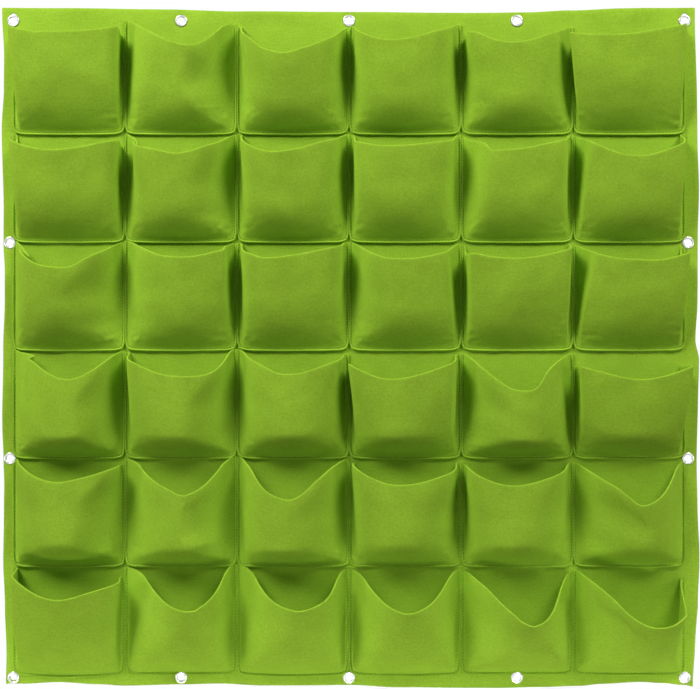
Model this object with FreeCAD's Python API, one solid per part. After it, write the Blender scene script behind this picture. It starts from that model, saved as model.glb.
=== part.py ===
"""Felt wall planter: a hanging felt panel with a grid of sewn-on pockets and metal eyelets round its edge.

Millimetres, +Z up, +X to the viewer's right, the viewer at -Y. The origin is the middle of the panel's back
face, which lies on the wall. Each pocket is one piece of felt, sewn to the panel along its left, lower and
right edges by a narrow flat hem, and open at the top.
"""
import FreeCAD, Part
import math
import os
from collections import namedtuple

Vector = FreeCAD.Vector

# Felt
FELT = 2.5                  # thickness of the panel and of the pockets
POCKET_WIDTH = 151.8        # between the feet of a pocket's side walls
POCKET_HEIGHT = 150.0       # from the foot of a pocket's front to its upper corners
HEM = 4.0                   # flat sewn edge on three sides of a pocket
HEM_CORNER = 7.0            # outer radius of the hem's two lower corners
POCKET_GAP = 1.6            # between the hems of neighbouring pockets

# Felt bends
FOOT_BEND = 6.0             # width over which the felt lifts off the panel beside a seam
FOLD_SHARE = 0.36           # share of a side wall that is taken up by its rounded fold
FOOT_SHARE = 0.18           # share of a side wall that is taken up by its bend off the panel
FOOT_KNEE = 0.6             # share of the foot bend that lies flat on the panel
FOOT_FOLD = 9.0             # distance of a fold from the side wall's foot, at its lower end
FRONT_CURVE = 1.7           # how roundly the underside turns into the front
FRONT_LEAN = 0.75           # how far a front leans out above its underside, as a share of the underside

# Sewing thread
THREAD_WIDTH = 0.9
THREAD_HEIGHT = 0.6
THREAD_INSET = 2.0          # from the hem's raw edge to the middle of the seam

# Eyelets
BORE = 10.6                 # clear hole
BARREL_WALL = 0.5
FLANGE = 17.2               # outer diameter of the front flange and of the washer
FLANGE_THICK = 0.6
FLANGE_CROWN = 0.9          # height of the rounded front above the flange's rim
CROWN_SHARE = 0.25          # share of the flange's width that each side of the crown slopes over
CROWN_FALL = 0.8            # height of the crown's outer side as a share of its inner side's
WASHER_THICK = 0.5
CURL_THICK = 0.4            # barrel end that is rolled over the washer
CURL_WIDTH = 1.4
SINK_FRONT = 0.4            # how deep the flange presses into the felt
SINK_BACK = 1.0             # how deep the washer presses into the felt
EYELET_CLEARANCE = 0.3      # round the barrel, the flange and the washer

# Eyelet places: from the panel's edge to the flange's rim, and from there to the next pocket's foot or corners
SIDE_RIM = 2.4
TOP_RIM = 3.9
BOTTOM_RIM = 3.4
CORNER_SHIFT = 5.0          # corner eyelets stand further in than the side ones
SIDE_GAP = 1.0
TOP_GAP = 0.9
BOTTOM_GAP = 1.0
SIDE_EYELET_EVERY = 2       # rows of pockets between the eyelets of a side edge

# Lip of a pocket: its left fold, its lowest point and its right fold. A fold gives its distance from the side
# wall's foot, its depth off the panel and its drop below the pocket's upper corners. The lowest point gives its
# distance right of the pocket's middle, its depth and its drop. Under is the share of the pocket's height that
# is taken up by the sloping underside.
Drape = namedtuple("Drape", "left low right under")

# One line per pocket, left to right, the top row first
DRAPES = (
    (
        Drape((1, 57, 12), (-16, 62, 21), (-3, 54, 13), 0.26),
        Drape((13, 54, 8), (22, 60, 42), (24, 50, 20), 0.30),
        Drape((7, 56, 20), (-8, 64, 51), (6, 56, 22), 0.28),
        Drape((3, 56, 20), (-20, 62, 32), (11, 56, 15), 0.26),
        Drape((8, 54, 22), (-22, 60, 35), (20, 54, 16), 0.26),
        Drape((-14, 56, 20), (-50, 60, 28), (7, 58, 12), 0.24),
    ),
    (
        Drape((1, 56, 13), (-30, 60, 30), (-3, 54, 15), 0.26),
        Drape((16, 52, 19), (-12, 60, 36), (16, 52, 22), 0.28),
        Drape((6, 54, 13), (-25, 60, 33), (2, 54, 13), 0.26),
        Drape((3, 54, 18), (-23, 60, 25), (10, 54, 15), 0.26),
        Drape((27, 50, 25), (-31, 58, 32), (13, 54, 17), 0.32),
        Drape((12, 54, 17), (6, 60, 38), (8, 56, 17), 0.28),
    ),
    (
        Drape((22, 48, 16), (-3, 58, 39), (10, 52, 6), 0.30),
        Drape((14, 50, 8), (3, 58, 24), (8, 52, 14), 0.32),
        Drape((6, 52, 14), (-22, 58, 25), (2, 52, 14), 0.26),
        Drape((12, 50, 14), (-9, 58, 27), (18, 50, 21), 0.30),
        Drape((1, 54, 18), (-17, 58, 26), (11, 52, 16), 0.26),
        Drape((21, 50, 20), (14, 58, 29), (2, 56, 19), 0.26),
    ),
    (
        Drape((40, 44, 12), (11, 58, 38), (7, 52, 8), 0.28),
        Drape((12, 52, 12), (20, 60, 36), (8, 50, 16), 0.28),
        Drape((8, 52, 11), (3, 58, 32), (2, 52, 12), 0.28),
        Drape((2, 54, 21), (-26, 60, 38), (7, 52, 16), 0.26),
        Drape((15, 48, 16), (2, 62, 55), (13, 48, 7), 0.30),
        Drape((-4, 54, 23), (-11, 60, 38), (1, 56, 22), 0.26),
    ),
    (
        Drape((20, 54, 8), (2, 62, 26), (-5, 56, 8), 0.32),
        Drape((28, 50, 3), (16, 64, 45), (6, 54, 3), 0.34),
        Drape((12, 54, 4), (-1, 66, 50), (4, 54, 4), 0.34),
        Drape((4, 56, 14), (-10, 62, 30), (7, 56, 12), 0.32),
        Drape((3, 56, 16), (-18, 62, 32), (15, 54, 12), 0.32),
        Drape((-4, 54, 4), (9, 66, 57), (30, 52, 20), 0.32),
    ),
    (
        Drape((14, 72, 3), (5, 80, 31), (-4, 70, 8), 0.9),
        Drape((36, 66, 3), (20, 82, 46), (5, 70, 5), 0.9),
        Drape((30, 68, 8), (13, 82, 46), (7, 70, 8), 0.9),
        Drape((7, 70, 3), (0, 84, 50), (13, 70, 4), 0.9),
        Drape((17, 68, 5), (17, 86, 66), (20, 70, 14), 0.9),
        Drape((-4, 66, 2), (25, 88, 68), (11, 78, 50), 0.9),
    ),
)

# Layout
ROWS = len(DRAPES)
COLUMNS = len(DRAPES[0])
PITCH_X = POCKET_WIDTH + 2 * HEM + POCKET_GAP
PITCH_Z = POCKET_HEIGHT + HEM + POCKET_GAP
SIDE_MARGIN = SIDE_RIM + FLANGE + SIDE_GAP - HEM
TOP_MARGIN = TOP_RIM + FLANGE + TOP_GAP
BOTTOM_MARGIN = BOTTOM_RIM + FLANGE + BOTTOM_GAP - HEM
PANEL_WIDTH = COLUMNS * PITCH_X - POCKET_GAP + 2 * SIDE_MARGIN
PANEL_HEIGHT = ROWS * PITCH_Z - POCKET_GAP + TOP_MARGIN + BOTTOM_MARGIN
HEM_FRONT = -2 * FELT       # front face of the hems, which lie on the panel

# Points across a pocket's felt: at a foot, on a side wall, round a fold and over the front
FOOT_STEPS = 4
WALL_STEPS = 4
FOLD_STEPS = 6
FRONT_STEPS = 14
RISE_STEPS = 22             # points from a pocket's foot to its lip
RISE_CROWDING = 1.25        # how much closer together these points lie near the foot


def column_middle(column):
    """Middle of a column of pockets, in X."""
    return (column - (COLUMNS - 1) / 2) * PITCH_X


def row_foot(row):
    """Height of the foot of a row of pockets."""
    return PANEL_HEIGHT / 2 - TOP_MARGIN - POCKET_HEIGHT - row * PITCH_Z


def mix(first, second, share):
    """The point that lies a share of the way from the first point to the second."""
    return tuple(a + (b - a) * share for a, b in zip(first, second))


def bend(start, corner, end, share):
    """A point of the smooth bend that leads from start round a corner to end."""
    return mix(mix(start, corner, share), mix(corner, end, share), share)


def rise(share, under):
    """Depth of the felt at a share of the pocket's height, as a share of its depth at the lip."""
    ease = FOOT_BEND / POCKET_HEIGHT
    lifted = share * share * (1 + ease) / (share + ease)
    belly = 1 - FRONT_LEAN * under
    round_part = 1 - (1 - min(lifted / under, 1)) ** FRONT_CURVE
    return belly * round_part + (1 - belly) * lifted


def front_point(drape, left, right, depth_share, share):
    """A point of the front between its folds: across, depth and drop."""
    low_x = drape.low[0]
    across = left[0] + (right[0] - left[0]) * share
    if across < low_x:
        fold, away = left, (low_x - across) / (low_x - left[0])
    else:
        fold, away = right, (across - low_x) / (right[0] - low_x)
    depth = drape.low[1] * depth_share
    return (across, depth + (fold[1] - depth) * away ** 2, drape.low[2] + (fold[2] - drape.low[2]) * away ** 2)


def side_path(foot, knee, fold, along):
    """Points from a foot up a side wall and round its fold, as far as a point that lies along the front."""
    wall_start = mix(knee, fold, FOOT_SHARE)
    wall_end = mix(knee, fold, 1 - FOLD_SHARE)
    points = [bend(foot, knee, wall_start, step / FOOT_STEPS) for step in range(FOOT_STEPS)]
    points += [mix(wall_start, wall_end, step / WALL_STEPS) for step in range(WALL_STEPS)]
    points += [bend(wall_end, fold, along, step / FOLD_STEPS) for step in range(FOLD_STEPS)]
    return points


def section(drape, share):
    """Points across a pocket at a share of its height, from the left foot to the right: across, depth, drop."""
    half = POCKET_WIDTH / 2
    depth_share = rise(share, drape.under)
    left_in = FOOT_FOLD + (drape.left[0] - FOOT_FOLD) * share
    right_in = FOOT_FOLD + (drape.right[0] - FOOT_FOLD) * share
    left = (-half + left_in, drape.left[1] * depth_share, drape.left[2])
    right = (half - right_in, drape.right[1] * depth_share, drape.right[2])
    knee = FOOT_BEND * FOOT_KNEE
    left_wall = math.dist((-half + knee, 0), left[:2])
    right_wall = math.dist((half - knee, 0), right[:2])
    span = right[0] - left[0]
    start = left_wall * FOLD_SHARE / span
    stop = 1 - right_wall * FOLD_SHARE / span
    first = front_point(drape, left, right, depth_share, start)
    last = front_point(drape, left, right, depth_share, stop)
    points = side_path((-half, 0, 0), (-half + knee, 0, 0), left, first)
    for step in range(FRONT_STEPS):
        points.append(front_point(drape, left, right, depth_share, start + (stop - start) * step / FRONT_STEPS))
    points += [last] + side_path((half, 0, 0), (half - knee, 0, 0), right, last)[::-1]
    return points


def felt_grid(drape):
    """Rows of points on the outer face of a pocket's felt, from its foot to its lip."""
    grid = []
    for step in range(RISE_STEPS + 1):
        share = (step / RISE_STEPS) ** RISE_CROWDING
        row = section(drape, share)
        grid.append([Vector(x, HEM_FRONT - depth, share * (POCKET_HEIGHT - drop)) for x, depth, drop in row])
    return grid


def inner_grid(grid):
    """The inner face of the felt: each point of the outer face moved in by the felt's thickness."""
    rows, columns = len(grid), len(grid[0])
    inner = []
    for i in range(rows):
        line = []
        for j in range(columns):
            up = grid[min(i + 1, rows - 1)][j] - grid[max(i - 1, 0)][j]
            over = grid[i][min(j + 1, columns - 1)] - grid[i][max(j - 1, 0)]
            inward = up.cross(over)
            if i == 0 or j in (0, columns - 1):
                inward = Vector(0, 1, 0)
            line.append(grid[i][j] + inward.normalize() * FELT)
        inner.append(line)
    return inner


def knots(count, degree):
    """Even knots, and how often each is used, for a spline that starts and ends on its outer points."""
    places = [float(knot) for knot in range(count - degree + 1)]
    return places, [degree + 1] + [1] * (len(places) - 2) + [degree + 1]


def spline_face(grid):
    """Smooth face drawn by a grid of points, or by two lines of points and straight between them."""
    degrees = [min(3, len(grid) - 1), min(3, len(grid[0]) - 1)]
    up, up_used = knots(len(grid), degrees[0])
    over, over_used = knots(len(grid[0]), degrees[1])
    surface = Part.BSplineSurface()
    surface.buildFromPolesMultsKnots(grid, up_used, over_used, up, over, False, False, *degrees)
    return surface.toShape()


def u_outline(half, bottom, radius):
    """Closed outline that is open-ended at the pocket's upper corners and rounded at its two lower corners."""
    top = POCKET_HEIGHT
    at = [Vector(x, HEM_FRONT, z) for x, z in (
        (-half, top), (-half, bottom + radius), (-half + radius, bottom),
        (half - radius, bottom), (half, bottom + radius), (half, top))]
    slant = radius * (1 - math.sqrt(0.5))
    left_mid = Vector(-half + slant, HEM_FRONT, bottom + slant)
    right_mid = Vector(half - slant, HEM_FRONT, bottom + slant)
    edges = [
        Part.makeLine(at[0], at[1]), Part.Arc(at[1], left_mid, at[2]).toShape(), Part.makeLine(at[2], at[3]),
        Part.Arc(at[3], right_mid, at[4]).toShape(), Part.makeLine(at[4], at[5]), Part.makeLine(at[5], at[0])]
    return Part.Face(Part.Wire(edges))


def foot_rectangle():
    """The area inside the hem, where the pocket's felt stands off the panel."""
    corner = Vector(-POCKET_WIDTH / 2, HEM_FRONT, 0)
    return Part.makePlane(POCKET_WIDTH, POCKET_HEIGHT, corner, Vector(0, -1, 0), Vector(1, 0, 0))


def eyelet_places():
    """Centres of the eyelets of each edge of the panel, as pairs of X and Z."""
    side = PANEL_WIDTH / 2 - SIDE_RIM - FLANGE / 2
    corner = side - CORNER_SHIFT
    top = PANEL_HEIGHT / 2 - TOP_RIM - FLANGE / 2
    bottom = -PANEL_HEIGHT / 2 + BOTTOM_RIM + FLANGE / 2
    quarter = column_middle(COLUMNS - 2)
    across = (-corner, -quarter, 0, quarter, corner)
    seams = [row_foot(row) - HEM - POCKET_GAP / 2
             for row in range(SIDE_EYELET_EVERY - 1, ROWS - 1, SIDE_EYELET_EVERY)]
    return {
        "top": [(x, top) for x in across],
        "bottom": [(x, bottom) for x in across],
        "left": [(-side, z) for z in seams],
        "right": [(side, z) for z in seams],
    }


def disc(place, radius, front, back):
    """Round bar along Y at an eyelet's place."""
    return Part.makeCylinder(radius, back - front, Vector(place[0], front, place[1]), Vector(0, 1, 0))


def revolved(profile, place):
    """Ring turned about an eyelet's axis, from pairs of radius and Y."""
    x, z = place
    points = [Vector(x + radius, y, z) for radius, y in profile]
    face = Part.Face(Part.makePolygon(points + points[:1]))
    return face.revolve(Vector(x, 0, z), Vector(0, 1, 0), 360)


def eyelet(place):
    """Flange, barrel and rolled end of one eyelet."""
    bore = BORE / 2
    barrel = bore + BARREL_WALL
    rim = FLANGE / 2
    seat = -FELT + SINK_FRONT
    face = seat - FLANGE_THICK
    slope = (rim - bore) * CROWN_SHARE
    curl_back = -SINK_BACK + WASHER_THICK
    profile = [
        (bore, face), (bore + slope, face - FLANGE_CROWN),
        (rim - slope, face - FLANGE_CROWN * CROWN_FALL), (rim, face),
        (rim, seat), (barrel, seat), (barrel, curl_back), (barrel + CURL_WIDTH, curl_back),
        (barrel + CURL_WIDTH, curl_back + CURL_THICK), (bore, curl_back + CURL_THICK)]
    return revolved(profile, place)


def washer(place):
    """Washer behind the panel that the eyelet's rolled end holds."""
    hole = BORE / 2 + BARREL_WALL + EYELET_CLEARANCE
    front = -SINK_BACK
    back = front + WASHER_THICK
    return revolved([(hole, front), (FLANGE / 2, front), (FLANGE / 2, back), (hole, back)], place)


def panel(places):
    """Felt panel with a punched hole and a pressed seat on each face for every eyelet."""
    shape = Part.makeBox(PANEL_WIDTH, FELT, PANEL_HEIGHT, Vector(-PANEL_WIDTH / 2, -FELT, -PANEL_HEIGHT / 2))
    hole = BORE / 2 + BARREL_WALL + EYELET_CLEARANCE
    seat = FLANGE / 2 + EYELET_CLEARANCE
    cuts = []
    for place in places:
        cuts.append(disc(place, hole, -FELT, 0))
        cuts.append(disc(place, seat, -FELT, -FELT + SINK_FRONT))
        cuts.append(disc(place, seat, -SINK_BACK, 0))
    return shape.cut(cuts)


def notches(places, row, column):
    """Bars that trim the hem of one pocket round the eyelets near it, in the pocket's own place."""
    middle, foot = column_middle(column), row_foot(row)
    reach = FLANGE / 2 + EYELET_CLEARANCE
    near = [(x - middle, z - foot) for x, z in places
            if abs(x - middle) < POCKET_WIDTH / 2 + HEM + reach
            and -HEM - reach < z - foot < POCKET_HEIGHT + reach]
    return [disc(place, reach, HEM_FRONT - FELT, 0) for place in near]


def hem(cuts):
    """Flat sewn edge of a pocket."""
    band = u_outline(POCKET_WIDTH / 2 + HEM, -HEM, HEM_CORNER).cut(foot_rectangle())
    plate = band.extrude(Vector(0, FELT, 0))
    return plate.cut(cuts) if cuts else plate


def lies_inside(face):
    """Whether a face of the hem is the one that the pocket's standing felt grows out of."""
    centre = face.CenterOfMass
    return abs(abs(centre.x) - POCKET_WIDTH / 2) < 1e-6 or abs(centre.z) < 1e-6


def pocket(drape, cuts):
    """One felt pocket with its hem, in its own place."""
    outer = felt_grid(drape)
    inner = inner_grid(outer)
    faces = [spline_face(outer), spline_face(inner), spline_face([outer[-1], inner[-1]])]
    faces += [face for face in hem(cuts).Faces if not lies_inside(face)]
    shell = Part.makeShell(faces)
    shell.sewShape()
    solid = Part.Solid(shell)
    if solid.Volume < 0:
        solid.reverse()
    return solid


def seam(cuts):
    """Line of sewing thread on a pocket's hem."""
    outside = THREAD_INSET - THREAD_WIDTH / 2
    inside = THREAD_INSET + THREAD_WIDTH / 2
    outlines = [u_outline(POCKET_WIDTH / 2 + HEM - inset, inset - HEM, HEM_CORNER - inset)
                for inset in (outside, inside)]
    thread = outlines[0].cut(outlines[1]).extrude(Vector(0, -THREAD_HEIGHT, 0))
    return thread.cut(cuts) if cuts else thread


def export(name, shapes):
    """Write one node's shapes."""
    shape = shapes[0] if len(shapes) == 1 else Part.makeCompound(shapes)
    shape.exportStep("parts/" + name + ".step")


def main():
    """Build and write every node."""
    os.makedirs("parts", exist_ok=True)
    edges = eyelet_places()
    places = [place for edge in edges.values() for place in edge]
    export("back_panel", [panel(places)])
    for row, drapes in enumerate(DRAPES):
        seams = []
        for column, drape in enumerate(drapes):
            cuts = notches(places, row, column)
            move = Vector(column_middle(column), 0, row_foot(row))
            export(f"pocket_r{row + 1}_c{column + 1}", [pocket(drape, cuts).translated(move)])
            seams.append(seam(cuts).translated(move))
        export(f"stitching_row_{row + 1}", seams)
    for edge, centres in edges.items():
        export(f"eyelets_{edge}_edge", [eyelet(place) for place in centres])
        export(f"washers_{edge}_edge", [washer(place) for place in centres])


main()
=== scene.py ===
"""Looks of a felt wall planter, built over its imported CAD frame.

The planter is a square of needle-punched felt that hangs on a wall by eyelets. Six rows of six felt pockets are sewn
to it, each by a narrow flat hem on three sides. Sizes are in millimetres and become metres where a mesh is made.
"""
import logging
import math
from dataclasses import dataclass, field
from enum import Enum

import bmesh
import bpy
from mathutils import Matrix, Vector, noise


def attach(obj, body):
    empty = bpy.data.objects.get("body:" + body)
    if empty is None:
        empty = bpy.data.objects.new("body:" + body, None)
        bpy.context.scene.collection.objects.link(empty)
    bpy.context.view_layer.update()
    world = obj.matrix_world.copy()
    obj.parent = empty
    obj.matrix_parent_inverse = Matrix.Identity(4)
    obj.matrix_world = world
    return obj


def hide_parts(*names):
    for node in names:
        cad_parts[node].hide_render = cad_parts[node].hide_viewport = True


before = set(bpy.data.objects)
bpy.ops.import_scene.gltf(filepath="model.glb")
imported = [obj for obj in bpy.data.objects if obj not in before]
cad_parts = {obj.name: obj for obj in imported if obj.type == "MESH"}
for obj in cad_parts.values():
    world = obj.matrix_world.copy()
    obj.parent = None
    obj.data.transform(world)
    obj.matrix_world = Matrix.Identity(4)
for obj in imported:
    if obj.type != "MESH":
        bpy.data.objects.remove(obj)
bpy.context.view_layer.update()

MM = 0.001                      # one millimetre in Blender's metres
BODY = "root"                   # the one body that everything rides on
CUT_ANGLE = 62                  # degrees past which an edge of a thickened sheet is where the felt was cut
CUT_ROUND = 0.55                # how far a cut edge of felt is rounded by wear, in millimetres
LOG = logging.getLogger("felt_planter")

Point = tuple[float, float, float]
Place = tuple[float, float]


class Side(Enum):
    """Side of a pocket or of the panel; the value is its sign along X."""

    LEFT = -1
    RIGHT = 1

    @property
    def across(self) -> "Side":
        """The other side."""
        return Side(-self.value)


class Hold(Enum):
    """How a sheet of felt is held."""

    HUNG = "hung"
    GATHERED = "gathered"


def linear(hex_colour: str) -> tuple[float, float, float, float]:
    """Turn an sRGB hex colour into linear light.

    Args:
        hex_colour: Colour such as "#8fb433".

    Returns:
        Linear red, green, blue and an alpha of one.
    """
    parts = [int(hex_colour[i:i + 2], 16) / 255 for i in (1, 3, 5)]
    return tuple(c / 12.92 if c <= 0.04045 else ((c + 0.055) / 1.055) ** 2.4 for c in parts) + (1.0,)


def add_node(tree: bpy.types.NodeTree, kind: str, settings: dict | None = None,
             inputs: dict | None = None) -> bpy.types.Node:
    """Add a node with its settings, constants and links.

    Args:
        tree: Node tree that gets the node.
        kind: Blender's identifier of the node.
        settings: Attributes of the node itself.
        inputs: Values by input name or index; an output socket is linked and anything else is set.

    Returns:
        The new node.
    """
    node = tree.nodes.new(kind)
    for name, value in (settings or {}).items():
        setattr(node, name, value)
    for name, value in (inputs or {}).items():
        if isinstance(value, bpy.types.NodeSocket):
            tree.links.new(value, node.inputs[name])
        else:
            node.inputs[name].default_value = value
    return node


def per_metre(size: float) -> float:
    """Scale of a pattern whose features are this many millimetres apart."""
    return 1 / (size * MM)


def blank_material(name: str) -> bpy.types.Material:
    """Make a material whose node tree is empty.

    Args:
        name: Name of the material.

    Returns:
        The new material.
    """
    material = bpy.data.materials.new(name)
    material.use_nodes = True
    material.node_tree.nodes.clear()
    return material


def smooth_step(low: float, high: float, value: float) -> float:
    """Ease from 0 at low to 1 at high."""
    share = min(max((value - low) / (high - low), 0.0), 1.0)
    return share * share * (3 - 2 * share)


def mix(first: Point, second: Point, share: float) -> Point:
    """The point that lies a share of the way from the first to the second."""
    return tuple(a + (b - a) * share for a, b in zip(first, second))


def bend(start: Point, leave: Point, arrive: Point, end: Point, share: float) -> Point:
    """Read a smooth bend between two points.

    Args:
        start: Where the bend starts.
        leave: Point towards which it leaves.
        arrive: Point from which it comes in.
        end: Where it ends.
        share: Share of the way along it.

    Returns:
        The bend's point there.
    """
    middle = mix(leave, arrive, share)
    first, second = mix(mix(start, leave, share), middle, share), mix(middle, mix(arrive, end, share), share)
    return mix(first, second, share)


def along(stops: tuple[Place, ...], value: float) -> float:
    """Read a smooth line through a few stops.

    Args:
        stops: Pairs of place and height, in rising order of place.
        value: Place to read at.

    Returns:
        Height of the line there.
    """
    if value <= stops[0][0]:
        return stops[0][1]
    for (low, first), (high, second) in zip(stops, stops[1:]):
        if value <= high:
            return first + (second - first) * smooth_step(low, high, value)
    return stops[-1][1]


def through(stops: tuple[Place, ...], value: float) -> float:
    """Read a flowing line that keeps its slope through each stop.

    Args:
        stops: Pairs of place and height, in rising order of place.
        value: Place to read at, between the first stop and the last.

    Returns:
        Height of the line there.
    """
    last = len(stops) - 1
    index = next((i for i in range(last) if value <= stops[i + 1][0]), last - 1)
    slopes = []
    for at in (index, index + 1):
        before, after = stops[max(at - 1, 0)], stops[min(at + 1, last)]
        slopes.append((after[1] - before[1]) / (after[0] - before[0]))
    (low, first), (high, second) = stops[index], stops[index + 1]
    width = high - low
    share = min(max((value - low) / width, 0.0), 1.0)
    rest = 1 - share
    return (first * rest * rest * (1 + 2 * share) + second * share * share * (3 - 2 * share)
            + width * (slopes[0] * share * rest * rest - slopes[1] * share * share * rest))


def relaxed(points: list[tuple[float, ...]], passes: int) -> list[tuple[float, ...]]:
    """Ease the kinks out of a line of points, whose ends stay in place.

    Args:
        points: Points in order along the line.
        passes: How often each point moves halfway to the middle of its neighbours.

    Returns:
        The eased points.
    """
    for _ in range(passes):
        inner = [tuple((a + 2 * b + c) / 4 for a, b, c in zip(*trio)) for trio in zip(points, points[1:], points[2:])]
        points = points[:1] + inner + points[-1:]
    return points


def strides(line: list[Vector], pitch: float) -> list[tuple[Vector, Vector]]:
    """Walk along a line in equal steps.

    Args:
        line: Points of the line.
        pitch: Length of a step, which is stretched a little so that whole steps fill the line.

    Returns:
        Middle and direction of each step.
    """
    lengths = [(second - first).length for first, second in zip(line, line[1:])]
    count = int(sum(lengths) / pitch)
    step = sum(lengths) / count
    places, index, walked = [], 0, 0.0
    for number in range(count):
        target = (number + 0.5) * step
        while walked + lengths[index] < target:
            walked += lengths[index]
            index += 1
        way = line[index + 1] - line[index]
        places.append((line[index] + way * ((target - walked) / lengths[index]), way.normalized()))
    return places


def finished_piece(name: str, bm: bmesh.types.BMesh, material: bpy.types.Material, crease: float) -> bpy.types.Object:
    """Turn a bmesh into a shaded piece that rides on the planter.

    Args:
        name: Name of the piece.
        bm: Its mesh, in metres and in place. It is freed.
        material: Its finish.
        crease: Angle in degrees past which an edge stays sharp.

    Returns:
        The new object.
    """
    mesh = bpy.data.meshes.new(name)
    bm.to_mesh(mesh)
    bm.free()
    mesh.shade_smooth()
    mesh.set_sharp_from_angle(angle=math.radians(crease))
    mesh.materials.append(material)
    piece = bpy.data.objects.new(name, mesh)
    bpy.context.scene.collection.objects.link(piece)
    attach(piece, BODY)
    LOG.info("%s: %d faces", name, len(mesh.polygons))
    return piece


@dataclass(frozen=True)
class NeedleFelt:
    """Needle-punched polyester felt: fibres laid across in a web and tangled by barbed needles.

    The eye gets a matt, slightly furry face. Fine streaks run across it, with small clumps and a soft mottling
    where the web is thicker or thinner, and a pale bloom of loose fibre ends towards grazing views.
    """

    name: str = "needle_felt_lime"
    body: str = "#97bf33"
    deep: str = "#8ab42c"
    pale: str = "#a3c93e"
    bloom: str = "#b4d45c"
    streak: Place = (20.0, 1.3)     # length and spacing; real fibres are finer, these are drawn to show
    clump: float = 2.6
    mottle: float = 34.0
    relief: float = 0.25

    def material(self) -> bpy.types.Material:
        """Build the felt's nodes.

        Returns:
            The felt's material.
        """
        material = blank_material(self.name)
        tree = material.node_tree
        coords = add_node(tree, "ShaderNodeTexCoord").outputs["Object"]
        long, thin = (per_metre(size) for size in self.streak)
        laid = add_node(tree, "ShaderNodeMapping", {}, {"Vector": coords, "Scale": (long, thin, thin)})
        streaks = add_node(tree, "ShaderNodeTexNoise", {}, {
            "Vector": laid.outputs[0], "Scale": 1.0, "Detail": 3.0, "Roughness": 0.6, "Distortion": 0.6})
        clumps = add_node(tree, "ShaderNodeTexNoise", {}, {
            "Vector": coords, "Scale": per_metre(self.clump), "Detail": 4.0, "Roughness": 0.65})
        mottle = add_node(tree, "ShaderNodeTexNoise", {}, {
            "Vector": coords, "Scale": per_metre(self.mottle), "Detail": 2.0, "Roughness": 0.5})
        web = add_node(tree, "ShaderNodeMath", {"operation": "MULTIPLY_ADD"}, {
            0: streaks.outputs["Fac"], 1: 0.5, 2: clumps.outputs["Fac"]})
        fibres = add_node(tree, "ShaderNodeValToRGB", {}, {"Fac": web.outputs[0]})
        stops = fibres.color_ramp.elements
        stops[0].position, stops[0].color = 0.5, linear(self.deep)
        stops[1].position, stops[1].color = 1.0, linear(self.pale)
        stops.new(0.74).color = linear(self.body)
        tint = add_node(tree, "ShaderNodeMapRange", {}, {
            "Value": mottle.outputs["Fac"], "From Min": 0.3, "From Max": 0.7, "To Min": 0.95, "To Max": 1.04})
        colour = add_node(tree, "ShaderNodeVectorMath", {"operation": "SCALE"}, {
            0: fibres.outputs["Color"], "Scale": tint.outputs[0]})
        bump = add_node(tree, "ShaderNodeBump", {}, {
            "Height": web.outputs[0], "Strength": 0.5, "Distance": self.relief * MM})
        shader = add_node(tree, "ShaderNodeBsdfPrincipled", {}, {
            "Base Color": colour.outputs[0], "Normal": bump.outputs[0], "Roughness": 0.95,
            "Specular IOR Level": 0.05, "Sheen Weight": 0.03, "Sheen Roughness": 0.55,
            "Sheen Tint": linear(self.bloom)})
        add_node(tree, "ShaderNodeOutputMaterial", {}, {"Surface": shader.outputs[0]})
        return material


@dataclass(frozen=True)
class SewingThread:
    """Spun polyester sewing thread: twisted plies with a faint gloss, a shade darker than the felt; painted shade
    darkens the grooves between them.
    """

    name: str = "spun_thread_green"
    ply: str = "#4f6c1d"
    # painted shade: this darker colour stands for the shade in the grooves between the twisted plies
    painted_groove_shade: str = "#364c11"
    ply_width: float = 0.9

    def material(self) -> bpy.types.Material:
        """Build the thread's nodes.

        Returns:
            The thread's material.
        """
        material = blank_material(self.name)
        tree = material.node_tree
        coords = add_node(tree, "ShaderNodeTexCoord").outputs["Object"]
        twist = add_node(tree, "ShaderNodeTexWave", {"bands_direction": "DIAGONAL"}, {
            "Vector": coords, "Scale": per_metre(self.ply_width) / 3, "Distortion": 1.5, "Detail": 1.0})
        # the twist's bands mix the plies' colour with painted shade for the grooves between them
        plies = add_node(tree, "ShaderNodeMix", {"data_type": "RGBA"}, {
            0: twist.outputs["Fac"], 6: linear(self.painted_groove_shade), 7: linear(self.ply)})
        bump = add_node(tree, "ShaderNodeBump", {}, {
            "Height": twist.outputs["Fac"], "Strength": 0.4, "Distance": 0.1 * MM})
        shader = add_node(tree, "ShaderNodeBsdfPrincipled", {}, {
            "Base Color": plies.outputs[2], "Normal": bump.outputs[0], "Roughness": 0.6, "Sheen Weight": 0.1})
        add_node(tree, "ShaderNodeOutputMaterial", {}, {"Surface": shader.outputs[0]})
        return material


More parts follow.
